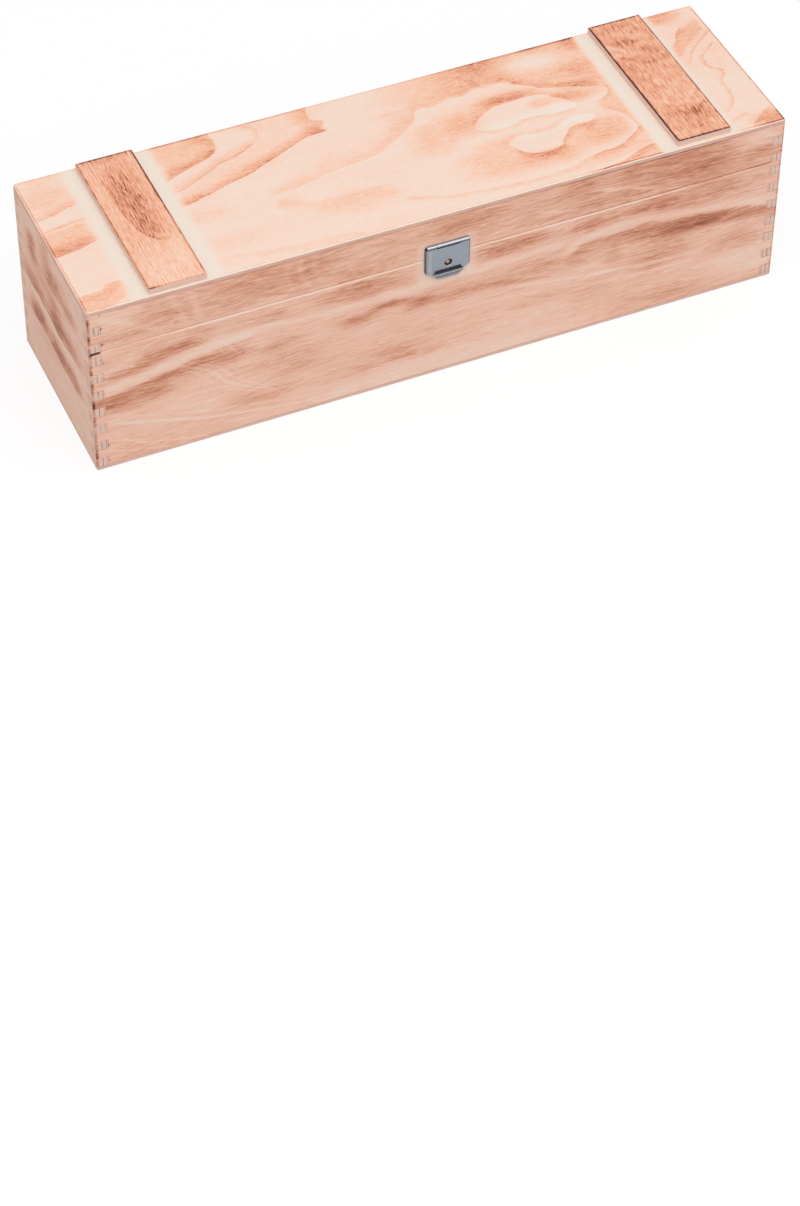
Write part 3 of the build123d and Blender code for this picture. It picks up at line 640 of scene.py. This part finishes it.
# Flamed front boards: streaky browns, a pale wave along them and a bright saw line
frontFace = {
    "along": (1, 0, 0), "across": (0, 0, 1), "outward": (0, -1, 0), "face": 49.25,
    "seed": 11,
    "scale": boardFlame,
    "tone": 0.37,
    "edgeTone": 0.12,
    "glueLines": boardEdges,
    "combStartsWith": "socket",
    "half": 175,
    "corners": (0.9, 0.55),
    "warps": [(24, 8, (1.6, 1)), (9, 1.4, (1.6, 0.1)), (3, 1.5, (0.3, 0.15))],
    "drift": (110, 40, (0, 5)),
    "streakGain": 1.1,
    "streaks": [(60, 8, 0.06), (26, 2.2, 0.07), (16, 0.9, 0.15), (5, 0.6, 0.11)],
    "lines": [
        # the dark bands and the pale wave above them
        {"points": [(60, 44), (66, 50), (75, 53.5), (85, 54.3), (95, 54.6), (108, 54.8),
                    (115, 53), (130, 51), (150, 49), (165, 46), (176, 42.5)],
         "tone": 0.24, "over": 2, "under": 14, "tapers": (8, 3)},
        {"points": [(58, 50), (66, 54), (75, 57.5), (90, 60.5), (100, 59.5), (115, 57.3),
                    (130, 55), (150, 53), (176, 49)],
         "tone": -0.17, "over": 5, "under": 4, "tapers": (8, 3)},
        {"points": [(40, 50), (60, 47), (68, 45), (76, 40)],
         "tone": 0.1, "over": 2, "under": 4, "tapers": (8, 4)},
        {"points": [(-60, 46), (-45, 47), (-28, 51), (-14, 48), (0, 46), (20, 45), (45, 41)],
         "tone": 0.12, "over": 5, "under": 4, "tapers": (15, 15)},
        {"points": [(-176, 41), (-165, 42.5), (-150, 45), (-130, 48.5), (-115, 50), (-100, 46)],
         "tone": 0.18, "over": 2.5, "under": 14, "tapers": (1, 20)},
        {"points": [(-176, 46), (-160, 49), (-145, 51.5), (-130, 53.5), (-112, 56), (-95, 58)],
         "tone": -0.18, "over": 5, "under": 4, "tapers": (2, 12)},
        {"points": [(-110, 56), (-90, 58), (-60, 57), (-20, 56), (40, 57.5), (66, 56)],
         "tone": -0.14, "over": 3.5, "under": 3.5, "tapers": (12, 15)},
        # families of faint pale curves
        {"turned": True, "tone": -0.14, "over": 15, "under": 12, "pitch": 5.2, "tapers": (8, 6),
         "points": [(14, -80), (22, -92), (27, -103), (34, -112), (42, -119), (48, -129),
                    (54, -140)]},
        {"turned": True, "tone": -0.12, "over": 10, "under": 10, "pitch": 4.4, "tapers": (5, 4),
         "points": [(46, -102), (52, -107), (58, -113), (66, -124)]},
        {"points": [(-176, 17.5), (-165, 16), (-150, 9.5), (-130, 4), (-112, 0)],
         "tone": -0.16, "over": 1.5, "under": 1.2, "tapers": (2, 12)},
        {"points": [(-176, 12), (-150, 5), (-132, 0)],
         "tone": -0.12, "over": 1.2, "under": 1.2, "tapers": (2, 8)},
        {"points": [(-172, 28), (-150, 22), (-125, 15), (-100, 10), (-70, 6)],
         "tone": -0.19, "over": 8, "under": 6, "pitch": 4.2, "tapers": (8, 25)},
        {"turned": True, "tone": -0.09, "over": 24, "under": 8, "pitch": 8.5, "tapers": (3, 5),
         "points": [(73, -126), (80, -131), (88, -133), (96, -137)]},
        {"turned": True, "tone": -0.09, "over": 20, "under": 14, "pitch": 7.5, "tapers": (3, 3),
         "points": [(73, -66), (80, -71), (88, -73), (96, -69)]},
        {"points": [(-172, 91), (-160, 86), (-148, 79), (-138, 73)],
         "tone": -0.13, "over": 4, "under": 3, "tapers": (3, 3)},
        {"points": [(20, 43), (60, 36), (100, 31), (140, 29)],
         "tone": -0.2, "over": 9, "under": 12, "pitch": 5.5, "tapers": (20, 25)},
        # pale dashes on the lid, and a dark foot line
        {"points": [(72, 85), (85, 82.6), (95, 80.5), (104, 77), (112, 75)],
         "tone": -0.17, "over": 1.8, "under": 1.2, "tapers": (8, 6)},
        {"points": [(46, 81), (58, 78), (70, 74.5)],
         "tone": -0.16, "over": 1.8, "under": 1.2, "tapers": (5, 5)},
        {"points": [(96, 1.8), (115, 1.6), (136, 1.8)],
         "tone": 0.25, "over": 1, "tapers": (6, 12)},
    ],
    "zones": [
        {"tone": 0.11, "soft": 3, "upper": [(-176, 99), (176, 99)],
         "lower": [(-176, 72), (176, 72)]},
    ],
    "spots": [
        (-158, 54.5, 16.1, 4.05, 0.29), (-144, 59, 16.1, 5.4, 0.29),
        (-127, 61.5, 14.9, 4.05, 0.31), (-135, 66, 34.5, 6.75, 0.09),
        (-168, 40, 18, 6, 0.16), (-150, 42, 16.1, 6.75, 0.13), (-137, 46.5, 13.8, 4.05, 0.2),
        (-142, 37, 13.8, 5.4, 0.15), (-160, 35, 18.4, 5.4, 0.13), (-124, 49, 10.3, 4.05, 0.15),
        (-107, 48, 13.8, 8.1, 0.22), (-84, 46, 18.4, 5.4, 0.15), (-92, 17.5, 28, 5, 0.15),
        (-88, 65, 13.8, 5.4, 0.16), (-152, 6, 27.6, 8.1, 0.13), (-76, 36, 20.7, 10.8, 0.08),
        (-75, 28, 20.7, 5.4, 0.07), (-44, 46.5, 16.1, 5.4, 0.24), (-29, 50.7, 12.6, 3.38, 0.22),
        (-14, 47.5, 12.6, 5.4, 0.22), (10, 49, 29.9, 8.1, 0.11), (42, 43, 27.6, 8.1, 0.15),
        (50, 50, 23, 6.75, 0.09), (-27, 20.5, 26, 7, 0.15), (-14, 16, 20, 4, 0.14),
        (-44, 15.5, 11.5, 4.05, 0.12), (-42, 64, 30, 7, 0.26), (-48, 68, 39.1, 5.4, 0.09),
        (32, 66.5, 28, 7, 0.34), (50, 65, 13.8, 5.4, 0.09), (80, 65.5, 26, 7, 0.3),
        (107, 66, 18, 8, 0.2), (132, 64, 46, 13, 0.22), (98, 51, 13.8, 5.4, 0.11),
        (122, 47.5, 27, 8, 0.3), (142, 46.5, 16.1, 5.4, 0.13),
        (160, 43.5, 16.1, 4.05, 0.15), (112, 34, 26, 11, 0.24), (88, 40, 5.75, 10.8, 0.11),
        (153, 28, 20, 9, 0.2), (120, 7, 43.7, 8.1, 0.14), (75, 24, 16.1, 8.1, 0.07),
        (48, 28, 20.7, 5.4, 0.09), (-20, 4, 103, 12.2, -0.16), (45, 12, 51.7, 18.9, -0.08),
        (-125, 25, 34.5, 16.2, -0.07), (160, 16, 34.5, 13.5, -0.14), (-143, 82, 23, 8.1, 0.13),
        (-95, 86, 32.2, 13.5, 0.11), (-66, 88, 18.4, 13.5, 0.11), (-48, 75, 18.4, 6.75, 0.09),
        (6, 87, 23, 10.8, 0.15), (3, 83, 13.8, 2.7, 0.11), (24, 89, 9.2, 8.1, 0.09),
        (70, 89, 13.8, 12.2, 0.16), (118, 87, 39.1, 16.2, 0.22), (95, 91, 9.2, 8.1, 0.09),
        (80, 76, 34.5, 6.75, 0.11), (140, 78, 34.5, 10.8, 0.09), (166, 81, 13.8, 5.4, 0.11),
        (-166, 89, 25.3, 12.2, -0.16), (164, 90, 20.7, 10.8, -0.2),
    ],
    "shelters": [{"at": (0, 69), "half": (10.5, 9.5), "fade": (0, 7), "left": 0.52}],
    "marks": [
        # the bright saw line, and dark just above it the seam's gap as a painted shadow line
        {"points": [(-160, 71.05), (0, 71.1), (160, 71)],
         "tone": -0.45, "over": 0.35, "under": 0.75, "tapers": (60, 60)},
        {"points": [(-176, 71.75), (-60, 72), (60, 72), (176, 72)],
         "tone": 0.22, "over": 0.7, "under": 0.4},
        {"points": [(60, 72), (110, 72), (176, 71.9)],
         "tone": 0.2, "over": 0.7, "under": 0.4, "tapers": (50, 1)},
        {"points": [(157, 72.1), (166, 72.1), (176, 71.8)],
         "tone": 0.4, "over": 0.7, "under": 0.5, "tapers": (3, 0.5)},
        # the seam's painted shadow line at the left corner
        {"points": [(-176, 71.3), (-172, 71.2), (-168.5, 71.5)],
         "tone": 1.2, "over": 0.7, "under": 1.4, "tapers": (0.5, 2)},
        # painted shade along the joint under the top panel's edge
        {"points": [(-176, 93.6), (0, 93.6), (176, 93.6)], "tone": 0.2, "over": 0.9, "under": 0.6},
        {"points": [(60, 93.4), (115, 93.5), (150, 93.5)],
         "tone": 0.2, "over": 0.8, "under": 0.5, "tapers": (20, 20)},
        {"points": [(-176, 2.3), (0, 2.3), (176, 2.3)], "tone": 0.1, "over": 0.4, "under": 0.3},
    ],
    "dots": [
        (-168.9, 84.9, 1, 1.3, 0.6), (-168.7, 75.6, 1.1, 0.8, 0.6), (-169, 64.6, 0.8, 0.7, 0.4),
        (-169, 55, 0.9, 1.1, 0.4), (-169, 14, 1, 0.8, 0.8), (-169, 16.8, 0.7, 0.7, 0.35),
        (-169, 4.6, 0.8, 1.2, 0.35),
    ],
}

# Flamed left end: cloudy dark patches on a paler ground
leftFace = {
    "along": (0, -1, 0), "across": (0, 0, 1), "outward": (-1, 0, 0), "face": 175,
    "seed": 23,
    "scale": boardFlame,
    "tone": 0.3,
    "edgeTone": 0.12,
    "glueLines": boardEdges,
    "combStartsWith": "finger",
    "half": 49.25,
    "corners": (0.35, 0.6),
    "warps": [(24, 14, (1.5, 1.5)), (9, 1.5, (1.6, 0.1)), (5, 3, (0.4, 0.3))],
    "drift": (60, 30, (0, 4)),
    "streakGain": 1.1,
    "streaks": [(40, 7, 0.06), (16, 2, 0.07), (10, 0.9, 0.14), (4, 0.6, 0.09)],
    "lines": [
        {"points": [(-50, 44), (-34, 50), (-10, 49.5), (8, 48.5), (26, 50), (50, 56)],
         "tone": 0.3, "over": 14, "under": 1.5, "tapers": (14, 24)},
        {"points": [(-46, 30), (-32, 31.5), (-12, 33), (8, 31), (26, 31), (44, 38)],
         "tone": 0.26, "over": 10, "under": 1.5, "tapers": (12, 16)},
        {"points": [(-50, 47), (-30, 48), (-8, 47), (14, 46), (36, 47)],
         "tone": -0.14, "over": 2, "under": 2, "tapers": (8, 10)},
    ],
    "spots": [
        (3, 56, 13.8, 11.5, 0.4), (20, 55, 14.9, 8.05, 0.25), (-24, 38, 16.1, 8.05, 0.5),
        (3, 37, 19.5, 8.05, 0.43), (24, 36, 13.8, 6.9, 0.28), (-28, 56, 20.7, 9.2, 0.2),
        (-28, 77, 10.3, 11.5, 0.38), (-18, 67, 25.3, 9.2, 0.22), (0, 76, 17.2, 8.05, 0.45),
        (-8, 86, 11.5, 9.2, 0.25), (22, 74, 14.9, 6.9, 0.35), (12, 82, 13.8, 5.75, 0.2),
        (4, 65, 23, 5.75, 0.18), (-10, 27, 27.6, 5.75, 0.15),
    ],
    "marks": [
        # painted shadow in the seam's gap
        {"points": [(-49, 71.9), (0, 71.9), (49, 71.8)], "tone": 0.3, "over": 0.7, "under": 0.5},
        # painted shade along the joint under the top panel's edge
        {"points": [(-49, 93.6), (0, 93.6), (49, 93.6)], "tone": 0.22, "over": 0.8, "under": 0.5},
        {"points": [(-49, 2.3), (0, 2.3), (49, 2.3)], "tone": 0.1, "over": 0.4, "under": 0.3},
    ],
}

# Flamed right end, which the photo hides: a calm, even figure
rightFace = {
    **leftFace, "along": (0, 1, 0), "outward": (1, 0, 0), "seed": 31,
    "lines": [
        {"points": [(-50, 30), (-20, 34), (10, 40), (50, 42)],
         "tone": 0.25, "over": 10, "under": 1.5, "tapers": (4, 14)},
        {"points": [(-50, 62), (-10, 66), (20, 64), (50, 58)],
         "tone": 0.2, "over": 3, "under": 12, "tapers": (14, 4)},
    ],
    "spots": [
        (15, 82, 20, 8, 0.2), (-22, 48, 14, 7, 0.16), (25, 15, 18, 9, 0.14),
    ],
}

# Flamed back, which the photo hides: long growth lines and few patches
backFace = {
    **frontFace, "along": (-1, 0, 0), "outward": (0, 1, 0), "seed": 41,
    "zones": [], "shelters": [], "dots": [],
    "lines": [
        {"points": [(-176, 58), (-120, 62), (-60, 55), (0, 52), (60, 56), (120, 50), (176, 54)],
         "tone": 0.3, "over": 4, "under": 10},
        {"points": [(-176, 28), (-110, 22), (-40, 30), (30, 26), (100, 34), (176, 30)],
         "tone": 0.18, "over": 9, "under": 2},
        {"points": [(-140, 88), (-60, 84), (20, 86), (90, 82)],
         "tone": 0.2, "over": 2, "under": 6, "tapers": (20, 20)},
    ],
    "spots": [
        (-95, 44, 40, 8, 0.16), (90, 68, 45, 7, 0.16), (20, 10, 60, 8, 0.12),
    ],
}

# Flamed plywood underneath: pale, with two faint rings
underside = {
    **topFace, "across": (0, -1, 0), "outward": (0, 0, -1), "face": 0,
    "seed": 53, "edgeTone": 0.2, "shelters": [], "zones": [], "marks": [],
    "lines": [
        {"points": [(-176, 10), (-90, 18), (0, 26), (80, 20), (176, 30)],
         "tone": 0.16, "over": 12},
        {"points": [(-176, -20), (-60, -26), (40, -18), (176, -24)], "tone": 0.14, "under": 12},
    ],
    "spots": [
        (60, 0, 60, 14, 0.12),
    ],
}

# Flamed battens: warmer and browner than the panel, short dark pores, charred arrises
leftBatten = {
    "along": (0, 1, 0), "across": (1, 0, 0), "outward": (0, 0, 1), "face": 99.2,
    "seed": 61,
    "scale": panelFlame,
    "tone": 0.44,
    "edgeTone": 0.1,
    "glueLines": battenEdges,
    "warps": [(10, 5, (0.8, 0.6)), (6, 0.8, (1.6, 0.1))],
    "drift": (60, 20, (0, 0.8)),
    "streakGain": 3.4,
    "streaks": [(30, 4, 0.03), (9, 0.8, 0.1), (4, 0.6, 0.1)],
    "lines": [
        {"points": [(-20, -124), (-17.5, -128.5), (-10, -133.5), (0, -136), (15, -137.5),
                    (34, -138)],
         "tone": 0.2, "over": 5, "tapers": (2, 14), "rim": 0.1},
        {"points": [(-49, -131), (49, -131)], "tone": 0.16, "over": 20, "under": 20, "pitch": 1.4},
        {"turned": True, "tone": 0.12, "over": 1.5,
         "points": [(-129, -17), (-124, -18.3), (-120, -17)]},
    ],
    "zones": [
        {"tone": 0.1, "soft": 3, "tapers": (4, 12),
         "upper": [(-16, -122), (0, -119), (20, -119), (46, -119)],
         "lower": [(-16, -130), (0, -136), (15, -137.5), (46, -138)]},
    ],
    "spots": [
        (22, -130, 26, 8, 0.16), (4, -129, 20, 7, 0.18), (-10, -127, 8, 4, 0.1),
        (47, -130, 6, 18, 0.16), (-38, -131, 26, 18, -0.14), (-30, -122, 18, 5, -0.08),
    ],
    "marks": [
        {"points": [(-48, -117.5), (0, -117.5), (48, -117.5)],
         "tone": 0.5, "under": 0.9, "over": 2},
        {"points": [(-5, -117.6), (20, -117.6), (48, -117.6)],
         "tone": 0.3, "under": 1.5, "over": 2, "tapers": (15, 1)},
        {"points": [(-48, -144.4), (0, -144.4), (48, -144.4)],
         "tone": 0.45, "under": 2, "over": 0.8},
        {"turned": True, "tone": 0.5, "under": 1.6, "over": 2,
         "points": [(-146, 47.7), (-116, 47.7)]},
        {"turned": True, "tone": 0.35, "under": 2, "over": 0.8,
         "points": [(-146, -47.9), (-116, -47.9)]},
        {"turned": True, "tone": 0.4, "under": 2, "over": 0.9, "tapers": (0.3, 5),
         "points": [(-145.5, -47.8), (-138, -47.9)]},
    ],
}

rightBatten = {
    **leftBatten, "seed": 71, "tone": 0.58, "zones": [],
    "streaks": [(5, 14, 0.06), (9, 0.8, 0.09), (3.5, 1, 0.07)],
    "lines": [
        {"points": [(26, 131.5), (31, 134), (36, 136), (45, 139)], "tone": 0.2, "over": 0.7},
        {"points": [(22, 131), (26, 125), (31, 119)], "tone": -0.2, "over": 2, "under": 1.5},
        {"turned": True, "tone": -0.16, "over": 3, "under": 2,
         "points": [(119, -12), (126, -18), (132, -22), (140, -18), (147, -10)]},
        {"turned": True, "tone": 0.12, "over": 1, "under": 6,
         "points": [(119, -22), (127, -27), (134, -28), (146, -22)]},
        {"turned": True, "tone": 0.1, "over": 3, "under": 1,
         "points": [(119, 24), (128, 16), (136, 12), (147, 18)]},
    ],
    "spots": [
        (-32, 135, 11, 11, 0.2), (32, 130, 5, 9, 0.18), (12, 128, 8, 12, 0.12),
        (20, 140, 7, 7, 0.1), (-2, 124, 7, 8, 0.1), (47, 133, 5, 16, 0.12),
        (-8, 140, 8, 8, -0.08),
    ],
    "marks": [
        {"points": [(-48, 119.2), (0, 119.2), (49, 119.2)], "tone": 0.85, "under": 2, "over": 1},
        {"points": [(-48, 146.2), (0, 146.2), (49, 146.2)], "tone": 0.5, "under": 0.9, "over": 2},
        {"turned": True, "tone": 0.5, "under": 1.2, "over": 2,
         "points": [(118, 48.2), (148, 48.2)]},
        {"turned": True, "tone": 0.6, "under": 2, "over": 1,
         "points": [(118, -47.2), (148, -47.2)]},
    ],
}

# Zinc-plated sheet: a satin blue-grey with faint clouds and rolling lines
zincSteel = {
    "colour": "#9FA6AD",
    "shadow": "#959CA4",
    "roughness": 0.42,
    "roughnessSpread": 0.05,
    "clouds": 3.0,           # mm
    "rollingLines": (0.12, 3),   # mm; the real ones are hundredths wide and would not show
    "relief": 0.01,          # mm
    "reliefStrength": 0.2,
}

# the flap and its barrel, with painted shade under the barrel, under the lip, at the slot and down
# the sides, and painted highlights on the barrel's top and a bevel: x along the box, z up
flapSteel = {
    **zincSteel,
    "paintedShade": "#3A3234",
    "paintedHighlight": "#F4F0EE",     # where a line's tone is below 0, it is a painted highlight
    "paintedShadeAndHighlightLines": [
        {"points": [(-11.4, 78.5), (0, 78.5), (11.4, 78.5)],
         "tone": 1, "over": 0.9, "under": 0.5, "tapers": (0.2, 0.2)},
        {"points": [(-11, 79.75), (0, 79.75), (11, 79.75)],
         "tone": -0.6, "over": 0.3, "under": 0.35, "tapers": (0.2, 0.2)},
        {"points": [(-6, 59.9), (0, 59.9), (6.6, 59.9)],
         "tone": 0.6, "over": 0.35, "under": 0.35, "tapers": (3, 0.3)},
        {"turned": True, "tone": 0.6, "over": 0.7, "under": 1,
         "points": [(60, -11.2), (82, -11.2)], "tapers": (0.2, 0.2)},
        {"turned": True, "tone": 0.4, "over": 1, "under": 0.9,
         "points": [(60, 10.9), (82, 10.9)], "tapers": (0.2, 0.2)},
        {"turned": True, "tone": -0.14, "over": 1.4, "under": 1.1,
         "points": [(63, -9.2), (78, -9.2)], "tapers": (0.5, 0.5)},
        {"points": [(-6.5, 61.8), (0, 61.8), (6.5, 61.8)],
         "tone": 0.85, "over": 1, "under": 1.1, "tapers": (0.5, 0.5)},
    ],
}

# the hook plate's zinc, darker and rougher: painted shade for the flap's shadow over it
shadedHookSteel = {**zincSteel, "colour": "#8F868C", "shadow": "#7C7278", "roughness": 0.7}

# Brass-plated nail: a warm glint in the hole of the flap
brassHead = {
    **zincSteel,
    "colour": "#C9A98C",
    "shadow": "#8B6E5C",
    "roughness": 0.2,
    "clouds": 0.8,
}


def addPaintedShadeAndHighlights(tree, spot, look, colour):
    # Painted shade in the flap's creases and under its barrel and lip, and painted highlights on
    # its edges, placed on the box's front
    front = add(tree, "SeparateXYZ", (spot,))
    front = add(tree, "CombineXYZ", (front, front.node.outputs[2], 0))
    paintedShadeShare = 0.0
    for paintedLine in look["paintedShadeAndHighlightLines"]:
        paintedShadeShare = add(tree, "Math", (paintedShadeShare, addLine(tree, front, paintedLine)), operation="ADD")
    # tones below 0 give the painted highlight, tones above 0 the painted shade
    paintedHighlightShare = add(tree, "Math", (paintedShadeShare, -1.0), operation="MULTIPLY", use_clamp=True)
    paintedShadeShare = add(tree, "Math", (paintedShadeShare, 0.0), operation="MAXIMUM")
    for share, tint in ((paintedShadeShare, look["paintedShade"]), (paintedHighlightShare, look["paintedHighlight"])):
        colour = add(
            tree, "Mix", {0: share, 6: colour, 7: linear(tint)}, output=2, data_type="RGBA"
        )
    return colour


def addMetal(name, look):
    # Satin metal: cloudy plating, and faint rolling lines
    material, tree = newMaterial(name)
    spot = add(tree, "TexCoord", output="Object")
    spot = add(tree, "VectorMath", (spot, (1 / mm, 1 / mm, 1 / mm)), operation="MULTIPLY")
    cloud = streaks(tree, spot, look["clouds"], look["clouds"], 5)
    shade = add(tree, "MapRange", (cloud, -1, 1, 0, 1))
    colour = add(
        tree, "ValToRGB", (shade,), stops=[(0, look["shadow"]), (1, look["colour"])]
    )
    # painted shade and painted highlights, for the flap
    if "paintedShadeAndHighlightLines" in look:
        colour = addPaintedShadeAndHighlights(tree, spot, look, colour)
    lines = streaks(tree, spot, *look["rollingLines"], 9)
    smoothest = look["roughness"] - look["roughnessSpread"]
    roughest = look["roughness"] + look["roughnessSpread"]
    rough = add(tree, "MapRange", (lines, -1, 1, smoothest, roughest))
    bump = add(
        tree, "Bump",
        {"Strength": look["reliefStrength"], "Distance": look["relief"] * mm, "Height": lines},
    )
    shade = add(
        tree, "BsdfPrincipled",
        {"Base Color": colour, "Metallic": 1.0, "Roughness": rough, "Normal": bump},
    )
    add(tree, "OutputMaterial", {"Surface": shade})
    return material


finishes = [
    (addWood("flamedPlywoodTop", topFace), ["lid_top_panel"]),
    (addWood("flamedPlywoodUnderside", underside), ["bottom_panel"]),
    (addWood("flamedBoardFront", frontFace), ["base_front_board", "lid_front_rail"]),
    (addWood("flamedBoardLeft", leftFace), ["base_left_board", "lid_left_rail"]),
    (addWood("flamedBoardRight", rightFace), ["base_right_board", "lid_right_rail"]),
    (addWood("flamedBoardBack", backFace), ["base_back_board", "lid_back_rail"]),
    (addWood("flamedBattenLeft", leftBatten), ["batten_left"]),
    (addWood("flamedBattenRight", rightBatten), ["batten_right"]),
    (addMetal("brassPlatedNail", brassHead), ["latch_dome_nail"]),
    (addMetal("zincPlatedFlap", flapSteel), ["latch_flap", "latch_lid_plate"]),
    (addMetal("zincHookPaintedShade", shadedHookSteel), ["latch_catch_plate"]),
    (addMetal("zincPlatedSteel", zincSteel), [
        "hinge_left_base_leaf", "hinge_left_lid_leaf", "hinge_left_pin",
        "hinge_right_base_leaf", "hinge_right_lid_leaf", "hinge_right_pin",
        "hinge_base_nails", "hinge_lid_nails", "latch_pin", "latch_lid_nails", "latch_catch_nails",
    ]),
]
for material, names in finishes:
    for name in names:
        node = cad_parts[name]
        node.data.materials.clear()
        node.data.materials.append(material)
print("wood and metal are on all", len(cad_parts), "nodes")
